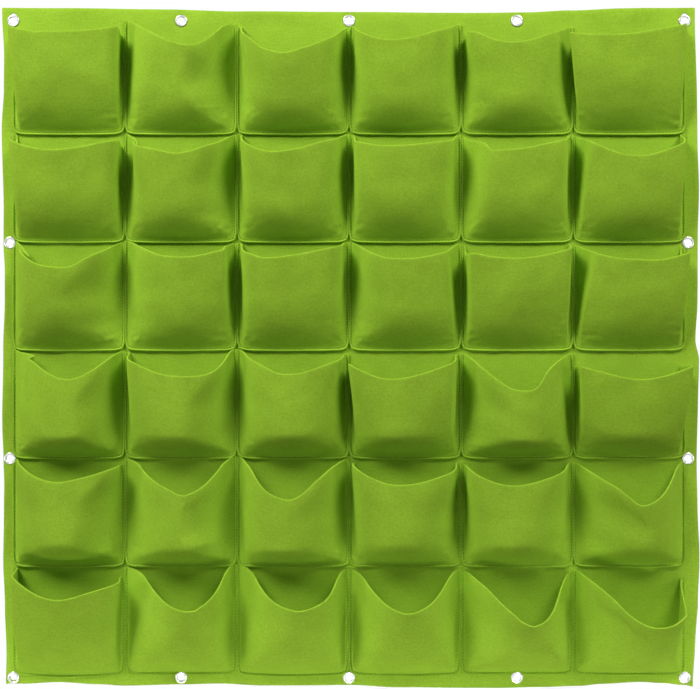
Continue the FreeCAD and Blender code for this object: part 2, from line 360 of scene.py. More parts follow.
@dataclass(frozen=True)
class PlatedSteel:
    """Pressed steel with bright nickel plating: mirror-like, softened by fine wear and the odd dull patch."""

    name: str = "nickel_plated_steel"
    plating: str = "#d6d6d4"
    dulled: str = "#b4b4b2"
    wear: float = 2.4
    grain: float = 0.5

    def material(self) -> bpy.types.Material:
        """Build the plating's nodes.

        Returns:
            The plated metal's material.
        """
        material = blank_material(self.name)
        tree = material.node_tree
        coords = add_node(tree, "ShaderNodeTexCoord").outputs["Object"]
        wear = add_node(tree, "ShaderNodeTexNoise", {}, {
            "Vector": coords, "Scale": per_metre(self.wear), "Detail": 3.0})
        grain = add_node(tree, "ShaderNodeTexNoise", {}, {
            "Vector": coords, "Scale": per_metre(self.grain), "Detail": 2.0})
        colour = add_node(tree, "ShaderNodeMix", {"data_type": "RGBA"}, {
            0: wear.outputs["Fac"], 6: linear(self.plating), 7: linear(self.dulled)})
        gloss = add_node(tree, "ShaderNodeMapRange", {}, {
            "Value": wear.outputs["Fac"], "From Min": 0.3, "From Max": 0.7, "To Min": 0.16, "To Max": 0.34})
        bump = add_node(tree, "ShaderNodeBump", {}, {
            "Height": grain.outputs["Fac"], "Strength": 0.15, "Distance": 0.03 * MM})
        shader = add_node(tree, "ShaderNodeBsdfPrincipled", {}, {
            "Base Color": colour.outputs[2], "Roughness": gloss.outputs[0], "Normal": bump.outputs[0], "Metallic": 1.0})
        add_node(tree, "ShaderNodeOutputMaterial", {}, {"Surface": shader.outputs[0]})
        return material


@dataclass(frozen=True)
class Fold:
    """Rounded fold where a pocket's side wall turns into its front.

    Inset, depth and drop give its place at the lip: distance from the side seam, depth off the panel and drop below
    the pocket's upper corner. End is the lip's drop at the seam, and sweep says how late the lip falls between the
    two: 1 is a straight slope. Pull draws the fold in from the seam low down. Soft is the share of the wall that the
    rounding takes. Flare is how far the wall lies flat on the panel beside the seam at the lip. Tuck folds the wall
    in behind the front at the lip. Belly is the share of the height over which the fold comes forward, or None where
    it follows the front.
    """

    inset: float
    depth: float
    drop: float
    end: float = 0.0
    pull: float = 14.0
    soft: float = 0.4
    sweep: float = 1.0
    flare: float = 0.0
    tuck: float = 0.0
    belly: float | None = None


@dataclass(frozen=True)
class Drape:
    """How one pocket hangs: its folds, the lip between them and its underside.

    The lip's points give their distance right of the pocket's middle and their drop below its upper corners. Bulge is
    the depth of the lip's lowest point, under the share of the height that the underside takes, bow how far the
    lower seam sags, and heel the share of the depth that the tight turn at the foot takes.
    """

    left: Fold
    lip: tuple[Place, ...]
    right: Fold
    under: float
    bulge: float = 62.0
    bow: float = 1.2
    heel: float = 0.1


# One entry per pocket, left to right, the top row first
DRAPES: tuple[tuple[Drape, ...], ...] = (
    (
        Drape(Fold(-1, 57, 11, 0, 2, 0.25, belly=0.8), ((-57, 17), (-38, 20), (0, 20), (48, 17)),
              Fold(-5, 54, 11, -4, 4, 0.3, belly=0.6), 0.71),
        Drape(Fold(21, 52, 8, -9, 6, 0.45), ((-40, 18), (-23, 27), (-6, 34), (10, 39), (22, 40), (34, 36)),
              Fold(32, 50, 28, -4, 30, 0.5, 1.6), 0.42, 60),
        Drape(Fold(4, 56, 18, -1, 14), ((-58, 29), (-44, 42), (-27, 48), (-10, 51), (9, 46), (43, 34)),
              Fold(11, 56, 21, 1, 14, 0.5), 0.42, 64),
        Drape(Fold(3, 56, 15, -1, 12), ((-60, 23), (-46, 29), (-26, 32), (-7, 31), (25, 24)),
              Fold(12, 56, 12, -4, 12, 0.5), 0.41),
        Drape(Fold(-2, 54, 18, 0, 20, 0.3), ((-66, 19), (-52, 26), (-37, 32), (-20, 35), (0, 34), (25, 27)),
              Fold(20, 54, 16, 0, 12, 0.5), 0.42, 60),
        Drape(Fold(-21, 56, 18, -3, 0, 0.15, tuck=8, belly=0.8), ((-87, 22), (-60, 24), (-32, 25), (3, 22), (38, 15)),
              Fold(6, 58, 9, 0, 2, 0.2, belly=0.8), 0.71),
    ),
    (
        Drape(Fold(0, 56, 12, -1, 2, 0.3, belly=0.75), ((-66, 18), (-48, 25), (-28, 29), (-6, 30), (22, 27), (55, 20)),
              Fold(-7, 54, 14, 0, 8, belly=0.6), 0.61),
        Drape(Fold(15, 52, 21, -1, 14, 0.14, tuck=8), ((-44, 26), (-25, 30), (-11, 34), (1, 35), (17, 32), (39, 25)),
              Fold(14, 52, 15, 0, 32, 0.5), 0.42),
        Drape(Fold(4, 54, 14, -1, 8, 0.35), ((-64, 20), (-52, 27), (-38, 31), (-23, 33), (-5, 31), (29, 22)),
              Fold(9, 54, 11, -1, 14, 0.45), 0.42),
        Drape(Fold(2, 54, 15, 0, 4, 0.25), ((-62, 19), (-44, 23), (-23, 24), (5, 23), (38, 19)),
              Fold(11, 54, 15, 0, 14, 0.45), 0.56),
        Drape(Fold(28, 50, 26, 4, 8, 0.14, tuck=3), ((-43, 30), (-34, 30), (-17, 29), (8, 26), (36, 20)),
              Fold(11, 54, 13, 0, 6, 0.3), 0.56, 58),
        Drape(Fold(12, 54, 18, 2, 0, 0.1), ((-50, 25), (-36, 31), (-19, 36), (-1, 38), (17, 37), (40, 30)),
              Fold(7, 56, 18, -1, 2, 0.2, belly=0.75), 0.48),
    ),
    (
        Drape(Fold(16, 48, 17, -3, 4, 0.3, tuck=16),
              ((-51, 23), (-39, 31), (-24, 36), (-7, 38), (9, 38), (21, 34), (38, 24)),
              Fold(14, 52, 12, -1, 36, 0.5), 0.48, 60),
        Drape(Fold(28, 50, 10, -3, 20, 0.4), ((-37, 16), (-23, 21), (-6, 23), (11, 24), (31, 22), (50, 17)),
              Fold(8, 52, 13, 0, 6, 0.1), 0.53, 58),
        Drape(Fold(5, 52, 14, 0, 6, 0.35), ((-58, 19), (-44, 24), (-30, 25), (-10, 23), (29, 16)),
              Fold(5, 52, 7, -1, 10), 0.56, 58),
        Drape(Fold(19, 50, 13, -1, 22, 0.45), ((-48, 18), (-34, 24), (-16, 26), (5, 26), (27, 23)),
              Fold(19, 50, 16, 1, 2, 0.1), 0.48, 58),
        Drape(Fold(0, 54, 18, 3, 6, 0.2), ((-64, 19), (-45, 23), (-23, 25), (3, 25), (28, 22)),
              Fold(5, 52, 11, 1, 2, 0.15), 0.68, 58),
        Drape(Fold(20, 50, 18, 4, -4, 0.08), ((-43, 22), (-21, 26), (10, 28), (31, 28), (51, 24)),
              Fold(0, 56, 17, 6, 2, 0.15, belly=0.75), 0.68, 60),
    ),
    (
        Drape(Fold(36, 44, 16, -2, 6, 0.5, tuck=16),
              ((-29, 25), (-15, 33), (1, 38), (15, 39), (29, 35), (43, 28), (54, 20)),
              Fold(11, 52, 10, 0, 30, 0.5), 0.35, 60, heel=0.6),
        Drape(Fold(5, 52, 11, 1, 6, 0.2), ((-57, 17), (-40, 25), (-20, 32), (3, 35), (25, 35), (46, 32), (57, 26)),
              Fold(11, 50, 17, -3, 34, 0.5, 1.3), 0.39, heel=0.56),
        Drape(Fold(19, 52, 13, -2, 12, 0.45), ((-47, 16), (-36, 23), (-22, 30), (-5, 32), (15, 30), (43, 21)),
              Fold(5, 52, 11, 4, 14), 0.35, 60, heel=0.56),
        Drape(Fold(-7, 54, 17, 1, 6, 0.15), ((-74, 22), (-60, 29), (-43, 36), (-23, 39), (-1, 37), (30, 29)),
              Fold(6, 52, 14, 4, 6, 0.2), 0.41, heel=0.46),
        Drape(Fold(20, 48, 22, 4, 24),
              ((-45, 32), (-32, 42), (-16, 52), (-1, 55), (12, 55), (20, 52), (29, 41), (37, 26)),
              Fold(20, 48, 11, 4, 6), 0.35, heel=0.6),
        Drape(Fold(-5, 54, 21, 8, 4, 0.12, tuck=10), ((-69, 24), (-49, 29), (-28, 35), (-5, 39), (14, 39), (37, 35)),
              Fold(-5, 56, 20, 9, 2, 0.12, belly=0.75), 0.36, heel=0.26),
    ),
    (
        Drape(Fold(16, 54, 5, 0, 16, 0.6), ((-46, 15), (-32, 22), (-14, 26), (0, 27), (19, 24), (50, 16)),
              Fold(-5, 56, 6, -1, 42, 0.5), 0.37, heel=0.62),
        Drape(Fold(37, 50, 24, -1, 22, 0.6, 1.5, 8), ((-27, 30), (-13, 37), (1, 43), (14, 46), (25, 42), (36, 37)),
              Fold(31, 54, 29, -4, 34, 0.5, 1.4), 0.39, 64, heel=0.6),
        Drape(Fold(20, 54, 11, -3, 4, 0.35),
              ((-50, 24), (-40, 37), (-26, 45), (-10, 51), (2, 51), (15, 44), (32, 29)),
              Fold(18, 54, 6, 0, 24, 0.5), 0.35, 64, heel=0.6),
        Drape(Fold(-2, 56, 3, 3, 8), ((-61, 16), (-43, 24), (-26, 30), (-7, 31), (13, 29), (41, 22)),
              Fold(5, 56, 12, 5, 22, 0.5), 0.39, heel=0.52),
        Drape(Fold(-2, 56, 6, 3, 10, 0.35), ((-66, 16), (-48, 24), (-31, 30), (-13, 32), (8, 30), (34, 23)),
              Fold(16, 54, 15, 5, 22, 0.5), 0.39, heel=0.56),
        Drape(Fold(19, 54, 18, 6, 36, 0.55), ((-44, 27), (-27, 37), (-12, 49), (-1, 58), (11, 59), (24, 55)),
              Fold(33, 52, 42, 4, 6, 0.5, 1.3), 0.43, 66, heel=0.4),
    ),
    (
        Drape(Fold(10, 72, 1, 1, 0, 0.12),
              ((-54, 10), (-38, 21), (-21, 29), (-4, 33), (13, 32), (40, 24), (69, 16)),
              Fold(-10, 70, 11, 3, 14, 0.3, 1.5, belly=0.6), 0.75, 80, 4),
        Drape(Fold(54, 66, 36, 0, 4, 0.55, 1.8, 10, belly=0.6), ((-11, 42), (4, 47), (19, 48), (33, 46), (45, 38)),
              Fold(17, 70, 25, -4, 10, 0.35, 1.7, belly=0.6), 0.7, 82, 0),
        Drape(Fold(42, 68, 34, -4, 8, 0.5, 1.6, 8, belly=0.6), ((-21, 41), (-5, 46), (10, 48), (27, 45), (43, 39)),
              Fold(20, 70, 31, 3, 6, 0.35, 1.9, belly=0.6), 0.7, 82, 3),
        Drape(Fold(35, 70, 33, 3, 12, 0.5, 1.4, 4, belly=0.6), ((-29, 42), (-16, 49), (-1, 51), (15, 49), (29, 44)),
              Fold(33, 70, 33, 3, -4, 0.4, 1.4, belly=0.6), 0.7, 84, 3),
        Drape(Fold(27, 68, 19, 5, 20, 0.6, belly=0.6), ((-34, 37), (-19, 51), (-4, 62), (11, 68), (25, 66)),
              Fold(34, 70, 56, 8, -6, 0.35, 1.5, belly=0.6), 0.7, 86, 0),
        Drape(Fold(8, 66, 8, 5, 36, 0.55, belly=0.6), ((-47, 23), (-29, 42), (-10, 58), (9, 68), (26, 70), (44, 67)),
              Fold(11, 78, 54, 16, 26, 0.08), 0.75, 88, 1),
    ),
)


@dataclass(frozen=True)
class Layout:
    """Sizes that the panel, the pockets, the seams and the eyelets share, in millimetres."""

    felt: float = 2.5
    pocket_width: float = 151.8
    pocket_height: float = 150.0
    hem: float = 4.0
    seam_out: float = 1.5
    pocket_gap: float = 1.6
    panel_width: float = 1000.0
    panel_height: float = 971.6
    top_margin: float = 22.0
    flange: float = 17.2
    clearance: float = 0.3
    bore: float = 10.6
    barrel_wall: float = 0.5
    eyelet_x: tuple[float, ...] = (-484.0, -242.1, 0.0, 242.1, 484.0)
    eyelet_side: float = 489.0
    eyelet_top: float = 473.3
    eyelet_bottom: float = -473.8
    eyelet_seams: tuple[float, ...] = (153.4, -157.8)

    @property
    def pitch(self) -> Place:
        """Spacing of the pockets across and down."""
        return (self.pocket_width + 2 * self.hem + self.pocket_gap, self.pocket_height + self.hem + self.pocket_gap)

    @property
    def hem_front(self) -> float:
        """Y of the hems' front face."""
        return -2 * self.felt

    def pocket_foot(self, row: int, column: int) -> Place:
        """Middle of the foot of one pocket, in X and Z."""
        top = self.panel_height / 2 - self.top_margin - self.pocket_height
        return ((column - (len(DRAPES[0]) - 1) / 2) * self.pitch[0], top - row * self.pitch[1])

    def eyelets(self) -> dict[str, list[Place]]:
        """Place the eyelets.

        Returns:
            Centres of the eyelets of each edge, in X and Z.
        """
        return {
            "top": [(x, self.eyelet_top) for x in self.eyelet_x],
            "bottom": [(x, self.eyelet_bottom) for x in self.eyelet_x],
            "left": [(-self.eyelet_side, z) for z in self.eyelet_seams],
            "right": [(self.eyelet_side, z) for z in self.eyelet_seams],
        }

    def all_eyelets(self) -> list[Place]:
        """Centres of all the eyelets."""
        return [place for edge in self.eyelets().values() for place in edge]


@dataclass
class FeltPocket:
    """One pocket: a single piece of felt, sewn flat along three sides and standing open at the top."""

    layout: Layout
    drape: Drape
    row: int
    column: int
    foot_bend: float = 2.0
    foot_knee: float = 0.6
    foot_fold: float = 6.0
    heel_height: float = 0.28
    front_curve: float = 2.1
    belly: float = 0.32             # share of the depth, above the heel, that the underside takes
    fold_belly: float = 2.2         # a fold comes forward over this many times the underside's height
    pull_from: float = 0.3          # shares of the height between which a fold is fully pulled in
    pull_to: float = 0.5
    pull_across: float = 0.6        # share of a pull that moves the fold, while the rest only softens it
    pull_soften: float = 100.0      # pull that would make a fold as soft as its whole wall
    softest: float = 0.8
    widest_round: float = 0.42      # share of the front that a fold's rounding takes at most
    fold_room: float = 16.0         # least distance of the front's deepest line from a fold
    foot_share: float = 0.16        # share of a side wall that its bend off the panel takes
    corner: float = 2.0             # how far the hem's rounded lower corner lies in from its straight lines
    corner_run: float = 12.0        # length of seam that the rounding takes on each side of a corner
    stitch_dip: float = 1.1         # how deep the seam presses the hem
    stitch_press: float = 0.8       # how wide the seam presses the hem
    edge_curl: float = 2.2          # how far the hem's raw edge curls off the panel
    hem_least: float = 1.0          # width that is left of a hem where an eyelet cuts into it
    corner_crumple: Point = (8.0, 10.0, 26.0)   # in from the side, up from the foot, and reach
    hem_steps: int = 5
    foot_steps: int = 4
    wall_steps: int = 10
    fold_steps: int = 8
    front_steps: int = 32
    rise_steps: int = 54
    rise_ease: float = 1.3          # rows of points lie closer together near the foot
    lip_passes: int = 3
    flat: Place = (262.0, 176.0)    # cut size of one pocket before it is sewn
    flat_area: float = 0.79         # share of that rectangle left by the slanted sides
    seed: float = field(init=False)

    def __post_init__(self) -> None:
        """Give each pocket its own creases."""
        self.seed = 7.3 * self.row + 3.1 * self.column

    def rise(self, share: float, under: float, heel: float) -> float:
        """Depth at a share of the height, as a share of the depth at the lip.

        Args:
            share: Share of the pocket's height.
            under: Share of the height that the underside takes.
            heel: Share of the depth that the tight turn at the foot takes.

        Returns:
            Share of the depth.
        """
        ease = self.foot_bend / self.layout.pocket_height
        lifted = share * share * (1 + ease) / (share + ease)
        turned = 1 - (1 - min(lifted / self.heel_height, 1)) ** 2
        rounded = 1 - (1 - min(lifted / under, 1)) ** self.front_curve
        return heel * turned + (1 - heel) * (lifted + self.belly * (rounded - lifted))

    def turn_in(self, away: float) -> Place:
        """How far the seam has turned in near a lower corner, and its slope there.

        Args:
            away: Distance along the other side's line from the corner.

        Returns:
            Distance in from the straight seam, and slope.
        """
        run = self.corner_run - self.corner
        share = min(max((self.corner_run - away) / run, 0.0), 1.0)
        return (self.corner * share * share, 2 * self.corner * share / run)

    def lobe(self, share: float) -> float:
        """How far a fold is pulled in at a share of the height, from 0 to 1."""
        return smooth_step(0, self.pull_from, share) * (1 - smooth_step(self.pull_to, 1, share))

    def softness(self, fold: Fold, share: float) -> float:
        """Share of the wall that a fold's rounding takes at a share of the height."""
        return min(fold.soft + fold.pull / self.pull_soften * self.lobe(share), self.softest)

    def fold_at(self, fold: Fold, side: Side, share: float) -> Point:
        """Place of a fold at a share of the height.

        Args:
            fold: The fold's values.
            side: Side of the pocket that it is on.
            share: Share of the pocket's height.

        Returns:
            Across, depth and drop.
        """
        inset = self.foot_fold * (1 - share) ** 3 + fold.inset * share
        inset += self.pull_across * fold.pull * self.lobe(share)
        depth = fold.depth * self.rise(share, fold.belly or min(self.fold_belly * self.drape.under, 1.0), 0.0)
        return (side.value * (self.layout.pocket_width / 2 - inset), depth, fold.drop)

    def lip_drop(self, share: float) -> float:
        """Drop of the lip between its folds.

        Args:
            share: Share of the way from the left fold to the right.

        Returns:
            The drop below the pocket's upper corners.
        """
        half = self.layout.pocket_width / 2
        left, right = self.drape.left, self.drape.right
        ends = ((left.inset - half, left.drop), (half - right.inset, right.drop))
        stops = (ends[0],) + self.drape.lip + (ends[1],)
        return through(stops, ends[0][0] + (ends[1][0] - ends[0][0]) * share)

    def front_point(self, left: Point, right: Point, depth_share: float, share: float) -> Point:
        """A point of the front between its folds.

        Args:
            left: Left fold at this height.
            right: Right fold at this height.
            depth_share: Depth here as a share of that at the lip.
            share: Share of the way from the left fold to the right.

        Returns:
            Across, depth and drop.
        """
        lowest = max(self.drape.lip, key=lambda place: place[1])[0]
        lowest = min(max(lowest, left[0] + self.fold_room), right[0] - self.fold_room)
        across = left[0] + (right[0] - left[0]) * share
        if across < lowest:
            fold, away = left, (lowest - across) / (lowest - left[0])
        else:
            fold, away = right, (across - lowest) / (right[0] - lowest)
        depth = self.drape.bulge * depth_share
        return (across, depth + (fold[1] - depth) * away * away, self.lip_drop(share))

    def side_points(self, side: Side, edge: Point, start: float, depth_share: float, share: float) -> list[Point]:
        """Points from a foot up a side wall and round its fold.

        Args:
            side: Side of the pocket.
            edge: The fold's place at this height.
            start: Share of the front at which the rounding ends, counted from this fold.
            depth_share: Depth here as a share of that at the lip.
            share: Share of the pocket's height.

        Returns:
            Points from the foot to just before the rounding's end.
        """
        fold = self.drape.left if side is Side.LEFT else self.drape.right
        other = self.fold_at(self.drape.right if side is Side.LEFT else self.drape.left, side.across, share)
        pair = (edge, other) if side is Side.LEFT else (other, edge)

        def front(at: float) -> Point:
            """The front's point at a share of the way from this fold to the other."""
            return self.front_point(*pair, depth_share, at if side is Side.LEFT else 1 - at)

        out = self.layout.pocket_width / 2 - self.turn_in(self.corner + share * self.layout.pocket_height)[0]
        opened = fold.flare * share ** 3
        foot = (side.value * out, 0.0, fold.end)
        knee = (side.value * (out - self.foot_bend * self.foot_knee - opened), 0.0, fold.end)
        low, high = self.foot_share + 0.01 * opened, 1 - self.softness(fold, share)
        tuck = fold.tuck * share ** 4
        wall = mix(knee, edge, low)
        points = [bend(foot, mix(foot, knee, 0.7), mix(knee, wall, 0.3), wall, step / self.foot_steps)
                  for step in range(self.foot_steps)]
        for step in range(self.wall_steps):
            up = step / self.wall_steps
            x, depth, _ = mix(knee, edge, low + (high - low) * up)
            points.append((x - side.value * tuck * math.sin(math.pi * up), depth, 0.0))
        wall, target, near = mix(knee, edge, high), front(start), front(start + 0.02)
        reach = math.dist(edge[:2], target[:2]) / max(math.dist(target[:2], near[:2]), 0.001)
        arrive = mix(target, near, -0.6 * reach)
        for step in range(self.fold_steps):
            points.append(bend(wall, mix(wall, edge, 0.6), arrive, target, step / self.fold_steps))
        return [(x, depth, self.wall_drop(fold, pair, side, x, step / len(points)))
                for step, (x, depth, _) in enumerate(points)]

    def wall_drop(self, fold: Fold, pair: tuple[Point, Point], side: Side, x: float, share: float) -> float:
        """Drop of the lip at a point of a side wall or of its rounding.

        Args:
            fold: The wall's fold.
            pair: Left and right fold at the lip.
            side: Side of the pocket.
            x: Across.
            share: Share of the way along the wall and its rounding, which counts where the wall overhangs its foot.

        Returns:
            The drop.
        """
        at = (x - pair[0][0]) / (pair[1][0] - pair[0][0])
        if 0 < at < 1:
            return self.lip_drop(at)
        if fold.inset > 8 and not fold.tuck:
            share = (self.layout.pocket_width / 2 - side.value * x) / fold.inset
        return fold.end + (fold.drop - fold.end) * min(max(share, 0.0), 1.0) ** fold.sweep

    def section(self, share: float) -> list[Point]:
        """Points across the pocket at a share of its height, from the left foot to the right.

        Args:
            share: Share of the pocket's height.

        Returns:
            Across, depth and the lip's drop of each point.
        """
        drape = self.drape
        depth_share = self.rise(share, drape.under, drape.heel)
        left = self.fold_at(drape.left, Side.LEFT, share)
        right = self.fold_at(drape.right, Side.RIGHT, share)
        half = self.layout.pocket_width / 2
        span = right[0] - left[0]
        start = min(math.dist((-half, 0), left[:2]) * self.softness(drape.left, share) / span, self.widest_round)
        stop = 1 - min(math.dist((half, 0), right[:2]) * self.softness(drape.right, share) / span, self.widest_round)
        last = self.front_point(left, right, depth_share, stop)
        points = self.side_points(Side.LEFT, left, start, depth_share, share)
        for step in range(self.front_steps):
            at = start + (stop - start) * step / self.front_steps
            points.append(self.front_point(left, right, depth_share, at))
        back = self.side_points(Side.RIGHT, right, 1 - stop, depth_share, share)
        return relaxed(points + [last] + back[::-1], 2)

    def creases(self, x: float, z: float, depth: float, share: float) -> float:
        """Depth added by the felt's soft waves, its crumpled lower corners and the flutter of its lip.

        Args:
            x: Across, from the pocket's middle.
            z: Height above the foot.
            depth: Depth off the hem.
            share: Share of the pocket's height.

        Returns:
            Depth to add.
        """
        free = min(depth / 14, 1.0)
        # Each kind of wave: its height, then its spacing across and up
        wave = 1.7 * noise.noise(Vector((x / 52, z / 60, self.seed)))
        ripple = 0.5 * noise.noise(Vector((x / 17, z / 24, self.seed + 40)))
        inward, upward, reach = self.corner_crumple
        corner = math.dist((abs(x), z), (self.layout.pocket_width / 2 - inward, upward)) / reach
        crumple = 1.5 * math.exp(-corner * corner) * noise.noise(Vector((x / 7, z / 7, self.seed + 80)))
        flutter = 1.6 * share ** 8 * noise.noise(Vector((x / 26, self.seed, 5.0)))
        return free * (wave + ripple + flutter) + min(depth / 5, 1.0) * crumple

    def hem_point(self, foot: Place, angle: float, side: Side, out: float) -> Point:
        """A point of the hem, trimmed round an eyelet, pressed down by the seam and curled at its raw edge.

        Args:
            foot: Foot point beside it, across and up.
            angle: Direction from straight sideways, 0, to straight down.
            side: Side towards which it leans.
            out: How far it lies out from the foot.

        Returns:
            Across, depth and height, from the pocket's foot.
        """
        way = (side.value * math.cos(angle), -math.sin(angle))
        middle, low = self.layout.pocket_foot(self.row, self.column)
        clear = self.layout.flange / 2 + self.layout.clearance
        free = self.layout.hem
        for place in self.layout.all_eyelets():
            off = (place[0] - middle - foot[0], place[1] - low - foot[1])
            ahead, aside = off[0] * way[0] + off[1] * way[1], off[0] * way[1] - off[1] * way[0]
            if ahead > 0 and abs(aside) < clear:
                free = min(free, max(ahead - math.sqrt(clear * clear - aside * aside), self.hem_least))
        out *= free / self.layout.hem
        x, z = foot[0] + way[0] * out, foot[1] + way[1] * out
        seam = (out - self.layout.seam_out) / self.stitch_press
        wave = 0.8 + 0.5 * noise.noise(Vector((x / 14, z / 14, self.seed)))
        curl = self.edge_curl * wave * smooth_step(self.layout.seam_out, self.layout.hem, out)
        return (x, curl - self.stitch_dip * math.exp(-seam * seam) * min(out, 1.0), z)

    def felt_body(self) -> list[list[Point]]:
        """Shape the felt inside its seam.

        Returns:
            Rows of points on its outer face, from the foot to the lip: across, depth and height.
        """
        height, half = self.layout.pocket_height, self.layout.pocket_width / 2
        drops = relaxed([(point[2],) for point in self.section(1.0)], self.lip_passes)
        feet = []
        for x, _, _ in self.section(0.0):
            sag = self.drape.bow * (1 - (x / half) ** 2)
            feet.append(self.turn_in(half - abs(x))[0] - sag)
        rows = []
        for step in range(self.rise_steps + 1):
            share = (step / self.rise_steps) ** self.rise_ease
            row = []
            for (x, depth, _), (drop,), low in zip(self.section(share), drops, feet):
                z = low * (1 - share) + share * (height - drop)
                row.append((x, depth + self.creases(x, z, depth, share), z))
            rows.append(row)
        return rows

    def side_hem(self, foot: Point, side: Side, out: float) -> Point:
        """The hem's point beside a foot of the side seam."""
        return self.hem_point((foot[0], foot[2]), math.atan(self.turn_in(foot[2])[1]), side, out)

    def low_hem(self, foot: Point, out: float) -> Point:
        """The hem's point below a foot of the lower seam.

        Args:
            foot: Point of the lower seam's foot.
            out: How far the hem's point lies out from it.

        Returns:
            Across, depth and height.
        """
        slope = self.turn_in(self.layout.pocket_width / 2 - abs(foot[0]))[1]
        side = Side.LEFT if foot[0] < 0 else Side.RIGHT
        return self.hem_point((foot[0], foot[2]), math.pi / 2 - math.atan(slope), side, out)

    def corner_hem(self, foot: Point, side: Side, outs: Place) -> Point:
        """The hem's point round a lower corner.

        Args:
            foot: The corner's foot.
            side: Side of the pocket.
            outs: How far the point lies out to the side and down.

        Returns:
            Across, depth and height.
        """
        lean = math.atan(self.turn_in(self.corner)[1])
        share = math.atan2(outs[1], outs[0]) / (math.pi / 2)
        return self.hem_point((foot[0], foot[2]), lean + (math.pi / 2 - 2 * lean) * share, side, max(outs))

    def seam(self, body: list[list[Point]], out: float) -> list[Point]:
        """The line that runs round the hem at some distance from the foot.

        Args:
            body: Rows of the felt inside the seam.
            out: Distance from the foot.

        Returns:
            Points from the left upper end round to the right.
        """
        turns = (0.3, 0.7, 1.0)
        left = [self.side_hem(row[0], Side.LEFT, out) for row in body[::-1]]
        right = [self.side_hem(row[-1], Side.RIGHT, out) for row in body]
        first = [self.corner_hem(body[0][0], Side.LEFT, (out, out * turn)) for turn in turns]
        last = [self.corner_hem(body[0][-1], Side.RIGHT, (out, out * turn)) for turn in turns[::-1]]
        return left + first + [self.low_hem(foot, out) for foot in body[0]] + last + right

    def felt_rows(self, body: list[list[Point]]) -> list[list[Point]]:
        """Rows of points on the outer face of the whole piece of felt, from the lower hem to the lip.

        Args:
            body: Rows of the felt inside the seam.

        Returns:
            Across, depth and height of each point, from the pocket's foot.
        """
        outs = [self.layout.hem * (1 - step / self.hem_steps) for step in range(self.hem_steps)]
        rows = []
        for row in body:
            left = [self.side_hem(row[0], Side.LEFT, out) for out in outs]
            right = [self.side_hem(row[-1], Side.RIGHT, out) for out in outs[::-1]]
            rows.append(left + row + right)
        feet = body[0]
        for down in outs[::-1]:
            left = [self.corner_hem(feet[0], Side.LEFT, (out, down)) for out in outs]
            right = [self.corner_hem(feet[-1], Side.RIGHT, (out, down)) for out in outs[::-1]]
            rows.insert(0, left + [self.low_hem(foot, down) for foot in feet] + right)
        return rows

    def build(self, finish: bpy.types.Material) -> bpy.types.Object:
        """Make the pocket.

        Args:
            finish: The felt's material.

        Returns:
            The pocket's piece, which stands for its CAD node.
        """
        rows = self.felt_rows(self.felt_body())
        middle, foot = self.layout.pocket_foot(self.row, self.column)
        bm = bmesh.new()
        over, up = len(rows[0]) - 1, len(rows) - 1
        bmesh.ops.create_grid(bm, x_segments=over, y_segments=up, size=1)
        for vert in bm.verts:
            x, depth, z = rows[round((vert.co.y + 1) / 2 * up)][round((vert.co.x + 1) / 2 * over)]
            vert.co = Vector((middle + x, self.layout.hem_front - depth, foot + z)) * MM
        thicken(bm, self.layout.felt)
        number = f"r{self.row + 1}_c{self.column + 1}"
        piece = finished_piece(f"felt_pocket_{number}", bm, finish, 50)
        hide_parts(f"pocket_{number}")
        return piece


def thicken(bm: bmesh.types.BMesh, felt: float) -> None:
    """Give a sheet its thickness behind its front face and round its cut edges.

    Args:
        bm: Sheet whose faces look out of its front, in metres.
        felt: Thickness in millimetres.
    """
    bm.normal_update()
    bmesh.ops.solidify(bm, geom=bm.faces[:], thickness=felt * MM)
    bm.normal_update()
    cut = [edge for edge in bm.edges if edge.is_manifold and edge.calc_face_angle() > math.radians(CUT_ANGLE)]
    bmesh.ops.bevel(bm, geom=cut, offset=CUT_ROUND * MM, offset_type="OFFSET", affect="EDGES", segments=2,
                    profile=0.5, material=-1)


